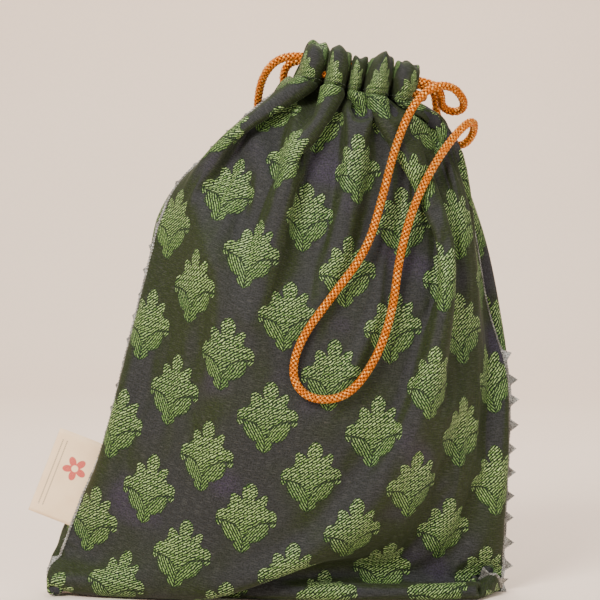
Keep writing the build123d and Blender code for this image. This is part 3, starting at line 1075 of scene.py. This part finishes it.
# How far a point's place, tilt along the tape and lift off the cloth stray
PLACE_STRAY, TILT_STRAY, LIFT_STRAY = 0.7, 0.16, 0.18
RIGHT_LACE_TOP, RIGHT_LACE_OVER = 135, 30  # its points turn from outward to the back up to this level


def above_floor(line):
    return np.maximum(line, (-np.inf, -np.inf, FLOOR_GAP / 2))


def point_shapes():
    """A point's filling zigzag and its edging with picots: along the tape, out from it."""
    zigzag = []
    for row in range(POINT_ROWS):
        share = row / (POINT_ROWS - 0.4)
        half = POINT_BASE / 2 * (1 - share) ** 0.85 * 0.86
        ends = (-half, half) if row % 2 == 0 else (half, -half)
        zigzag += [(end, 0.35 + share * POINT_REACH * 0.92) for end in ends]
    edging = []
    for k in range(2 * PICOTS + 1):
        share = k / (2 * PICOTS)
        height = 1 - abs(2 * share - 1)
        bulge = PICOT_BULGE if k % 2 else 0.0
        out = height * POINT_REACH + bulge * height + 0.2
        edging.append(((2 * share - 1) * (POINT_BASE / 2 + bulge), out))
    return (zigzag, FILL_RADIUS, 0.55), (edging, EDGE_RADIUS, 0.4)


def lace_point(threads, base, forward, out, lift, size, curl):
    """One pointed scallop: a zigzag of yarn inside an edging with small picots."""
    for shape, radius, step in point_shapes():
        flat = np.array(shape) * size
        places = np.stack([flat[:, 0], flat[:, 1], 0 * flat[:, 0]], -1)
        places = spaced(refine(places[:, None, :], 2, axes=(0,))[:, 0], step)
        wave = 0.16 * np.sin(5.5 * places[:, 0] + 3 * places[:, 1])
        rise = curl * (places[:, 1] / POINT_REACH) ** 2 + wave
        line = base + places[:, :1] * forward + places[:, 1:2] * out + rise[:, None] * lift
        threads.add(above_floor(line), radius)


def lace(word, line, out, lift, material, sizes=(0.9, 1.08), stand=0.5, curl=(-0.6, 0.9)):
    """A plaited silver tape along a seam, with a pointed scallop at every pitch."""
    line = line + stand * out
    length = length_along(line)[-1]
    fine = spaced(line, 0.45)
    count = len(fine)
    out_fine, lift_fine = spaced_like(out, count), spaced_like(lift, count)
    run = np.linspace(0, length, count)
    threads = Threads()
    for strand in range(3):
        phase = 2 * math.pi * (run / PLAIT_PITCH + strand / 3)
        across = PLAIT_HALF_WIDTH * np.sin(phase) + 0.15 * np.sin(0.37 * run)
        over = PLAIT_HALF_HEIGHT * np.sin(2 * phase)
        plait = fine + across[:, None] * out_fine + over[:, None] * lift_fine
        threads.add(above_floor(plait), PLAIT_RADIUS, 6)
    forward_fine = unit(np.gradient(fine, axis=0))
    middle = LACE_PITCH / 2
    while middle < length - POINT_BASE / 2:
        k = int(np.searchsorted(run, middle + rng.uniform(-PLACE_STRAY, PLACE_STRAY)))
        k = min(max(k, 0), count - 1)
        tilt = rng.uniform(-TILT_STRAY, TILT_STRAY) * forward_fine[k]
        outward = unit(out_fine[k] + tilt + rng.uniform(-LIFT_STRAY, LIFT_STRAY) * lift_fine[k])
        base = fine[k] + POINT_STAND * outward
        size = rng.uniform(*sizes)
        lace_point(threads, base, forward_fine[k], outward, lift_fine[k], size, rng.uniform(*curl))
        middle += LACE_PITCH
    place(threads.make(f"{word}_lace", material), "sack", "metallic_lace", f"{word}_seam_lace")


def seam_directions(cloth, column):
    """Outward at each point of a side seam."""
    front, back = (normals_of(points) for points in panels_of(cloth))
    outward = front[:, 0] + back[:, -1] if column == 0 else front[:, -1] + back[:, 0]
    outward[:, 0] += -0.4 if column == 0 else 0.4
    return unit(smooth_rows(outward, 6))


def smooth_rows(rows, times):
    for _ in range(times):
        padded = np.concatenate([rows[:1], rows, rows[-1:]])
        rows = (padded[:-2] + 2 * rows + padded[2:]) / 4
    return rows


# ---- label

LABEL_LEVELS = (34.0, 74.0)
LABEL_INSET = 3.5  # how much of it is inside the seam
LABEL_BACK = 1.5  # how far behind the seam's line it is rooted
LEAF_GAP = 0.9
LEAF_THICKNESS = 0.35
FOLD = 0.04  # the share of each leaf that its fold takes up
LABEL_BOW, LABEL_CURL, LABEL_TWIST = 1.1, 1.6, 0.5  # of the whole ribbon, to the back, front and back
TACK_PITCH, TACK, TACK_OUT, TACK_DEPTH = 2.6, 1.7, 2.6, 0.62
TACK_ARCH, TACK_RADIUS = 0.3, 0.17


def label_root(seam):
    """Where the label's lower end leaves the seam, and the directions along the seam and out of it."""
    ends = at_places(np.array(LABEL_LEVELS), seam[:, 2], seam)
    low, high = ends + (LABEL_INSET, LABEL_BACK, 0)
    upward = unit(high - low)
    return low, upward, np.cross(upward, (0, 1.0, 0))


def ribbon_label(material, low, upward, outward):
    """A ribbon folded at its outer edge, its two ends sewn into the left seam."""
    rows, columns = 23, 41
    up = np.linspace(0, LABEL_LENGTH, rows)
    run = np.linspace(-1, 1, columns)  # front leaf from its root, round the fold, to the back leaf's root
    is_leaf = np.abs(run) > FOLD
    out = LABEL_REACH * np.where(is_leaf, 1 - (np.abs(run) - FOLD) / (1 - FOLD), 1.0)
    share = out / LABEL_REACH
    half = LEAF_GAP * (0.25 + 0.75 * np.sin(np.pi * np.clip(share, 0, 1)) ** 0.8)
    y = np.sign(run) * np.where(is_leaf, half, half * np.abs(run) / FOLD)
    bow = LABEL_BOW * np.sin(np.pi * up / LABEL_LENGTH)[:, None] * share - LABEL_CURL * share**2
    bow = bow + LABEL_TWIST * share * (up[:, None] / LABEL_LENGTH)
    base = low + (up[:, None] - 2) * upward
    grid = base[:, None] + out[None, :, None] * outward
    grid[..., 1] += y[None, :] + bow * 0.8
    uv = np.stack(np.broadcast_arrays(up[:, None], out[None, :]), -1)
    obj = grid_object("label_ribbon", grid[:, ::-1], uv[:, ::-1])
    thicken(obj, LEAF_THICKNESS, 0)
    obj.data.materials.append(material)
    place(obj, "label", "label", "label")


def label_tacks(material, low, upward, outward):
    """Small stitches through both leaves beside the seam."""
    tacks = Threads()
    run = np.linspace(0, TACK, 6)[:, None]
    arch = TACK_ARCH * np.sin(np.linspace(0, math.pi, 6))[:, None]
    for level in np.arange(3.0, LABEL_LENGTH - 5, TACK_PITCH):
        root = low + level * upward + TACK_OUT * outward
        for face in (-1, 1):
            start = root + np.array([0, face * TACK_DEPTH, 0])
            tacks.add(start + run * upward + face * arch * np.array([0, 1.0, 0]), TACK_RADIUS)
    place(tacks.make("label_stitches", material), "label", "thread", "label_tacks")


# ---- cords


def pull_loop(word, route, material):
    """One drawstring's loop outside the casings."""
    line = nurbs_line(route)
    obj = braid([line], f"{word}_drawstring_loop", material)
    place(obj, f"{word}_drawstring", "cord", f"{word}_pull_loop")
    [tuple(point) for point in spaced(line, 1.0) * MM]


def cord_runs(word, first, material):
    """The two lengths of a drawstring inside the casings, as one piece."""
    x = np.array([first, first + RUN_LENGTH])
    runs = [spaced(neck(x, side * CORD_Y, RUN_LEVEL), 2.0) for side in (-1, 1)]
    obj = braid(runs, f"{word}_cord_runs", material)
    place(obj, f"{word}_drawstring", "cord", f"{word}_cord_ends")


def cord_bend(word, way, material):
    """A drawstring's turn at the far side of the neck."""
    x = way * np.array([TURN_START, TURN_END, TURN_END, TURN_START])
    y = np.array([-CORD_Y, -CORD_Y, CORD_Y, CORD_Y])
    route = [tuple(point) for point in neck(x, y, TURN_LEVEL) * MM]
    obj = braid([nurbs_line(route)], f"{word}_cord_bend", material)
    place(obj, "sack", "cord", f"{word}_cord_turn")


# ---- studio


def sweep_paper():
    """Pale mottled paper."""
    finish = Finish("sweep_paper", 0.85, specular=0.2)
    mottle = finish.noise(3.5, 3)
    fibre = finish.noise(240, 2)
    paper = mottle.rise(0.3, 0.7).choose((0.94, 0.785, 0.665), (0.96, 0.805, 0.685))
    finish.colour((fibre.rise(0.35, 0.65) * 0.25).choose(paper, (0.89, 0.745, 0.63)))
    return finish.material


def sweep():
    """A floor that curves up into a wall."""
    half_width, front, back, radius, top = 3000.0, -3000.0, 1200.0, 500.0, 3000.0
    profile = [(front, 0.0)]
    for angle in np.linspace(0, math.pi / 2, 13):
        profile.append((back + radius * math.sin(angle), radius * (1 - math.cos(angle))))
    profile.append((back + radius, top))
    verts = [(x, y, z) for y, z in profile for x in (-half_width, half_width)]
    faces = [(2 * k, 2 * k + 1, 2 * k + 3, 2 * k + 2) for k in range(len(profile) - 1)]
    paper = mesh_object("sweep", verts, faces)
    paper.data.materials.append(sweep_paper())


def point_at(obj, target):
    obj.rotation_euler = (target - obj.location).to_track_quat("-Z", "Y").to_euler()


def studio():
    """The sweep, a camera in front and soft lamps."""
    sweep()
    data = bpy.data.cameras.new("camera")
    data.lens = 112.5
    data.sensor_width = 36
    camera = link(bpy.data.objects.new("camera", data))
    camera.location = (0.010, -0.94, 0.176)
    point_at(camera, Vector((0.010, 0, 0.146)))
    bpy.context.scene.camera = camera

    sack, wall = Vector((0, 0, 0.12)), Vector((0, 1.7, 0.35))
    for name, position, target, size, power, colour in (
        ("key", (-0.55, -1.0, 0.95), sack, 0.5, 27, (1, 0.965, 0.92)),
        ("fill", (0.9, -0.9, 0.5), sack, 0.9, 7, (0.97, 0.98, 1)),
        ("top", (0.1, 0.2, 1.3), sack, 0.8, 8, (1, 0.98, 0.96)),
        ("backdrop", (0, 0.75, 1.5), wall, 1.2, 22, (1, 0.94, 0.86)),
    ):
        lamp = bpy.data.lights.new(name, "AREA")
        lamp.size = size
        lamp.energy = power
        lamp.color = colour
        holder = link(bpy.data.objects.new(name, lamp))
        holder.location = position
        point_at(holder, target)
    world = bpy.data.worlds.new("world")
    world.use_nodes = True
    background = world.node_tree.nodes["Background"]
    background.inputs[0].default_value = (1.0, 0.925, 0.86, 1)
    background.inputs[1].default_value = 0.46
    bpy.context.scene.world = world


# ---- making


def make_cords():
    cord = gold_cord()
    pull_loop("right", RIGHT_LOOP, cord)
    pull_loop("left", LEFT_LOOP, cord)
    cord_runs("right", RUN_START, cord)
    cord_runs("left", -RUN_START - RUN_LENGTH, cord)
    cord_bend("right", 1, cord)
    cord_bend("left", -1, cord)


def hanging_cords():
    """For each pull loop: its side, the columns of cloth under it, and its points on the cloth."""
    hanging = []
    front, back = slice(SIDE // 3, SIDE + 1), slice(SIDE + 1, AROUND)
    for side, columns, route in ((-1, front, RIGHT_LOOP), (1, back, LEFT_LOOP)):
        loop = spaced(nurbs_line(route), 4.0)
        loop = loop[side * loop[:, 1] > HANGS_FROM]
        hanging.append((side, columns, np.concatenate([loop - side * drawn * NECK_X for drawn in DRAWN_OUT])))
    return hanging


def make_cloth(cloth, thread):
    front, back = panels_of(cloth)
    silk = brocade()
    inner_silk = lining_silk()
    lining("front", front, inner_silk)
    lining("back", back, inner_silk)
    for word, points, lobes, side in (("front", front, FRONT_LOBES, -1), ("back", back, BACK_LOBES, 1)):
        hem, grid = casing(word, lobes, side, silk)
        panel(word, points, silk, hem)
        casing_stitches(word, grid, thread)


def make_laces(cloth):
    """Small points behind the left seam, points out of the lower right seam, and points on the floor."""
    silver = silver_lace()
    backward, upward = np.array([0, 1.0, 0]), np.array([0, 0, 1.0])
    seam = slice(1, -2)
    left_out, right_out = (seam_directions(cloth, column)[seam] for column in (0, SIDE))
    left, right = cloth[seam, 0], cloth[seam, SIDE]
    left_away = unit(0.5 * left_out + backward)
    lace("left", left, left_away, left_out, silver, sizes=(0.42, 0.6), stand=0.1, curl=(-0.3, 0.5))
    low = ramp(right[:, 2:], RIGHT_LACE_TOP, -RIGHT_LACE_OVER)
    right_away = unit(low * right_out + (1.2 - low) * backward)
    lace("right", right, right_away, unit(np.cross(right_out, upward)), silver, sizes=(0.68, 0.86), stand=0.2)
    bottom = cloth[0, 1:SIDE] + 0.6 * upward
    forward, upward = (np.broadcast_to(way, bottom.shape) for way in (-backward, upward))
    lace("bottom", bottom, forward, upward, silver, curl=(0.2, 1.0))


studio()
make_cords()
cloth = settle(first_form(), hanging_cords())
thread = sewing_thread()
make_cloth(cloth, thread)
make_laces(cloth)
root = label_root(cloth[1:, 0])
ribbon_label(ribbon(), *root)
label_tacks(thread, *root)
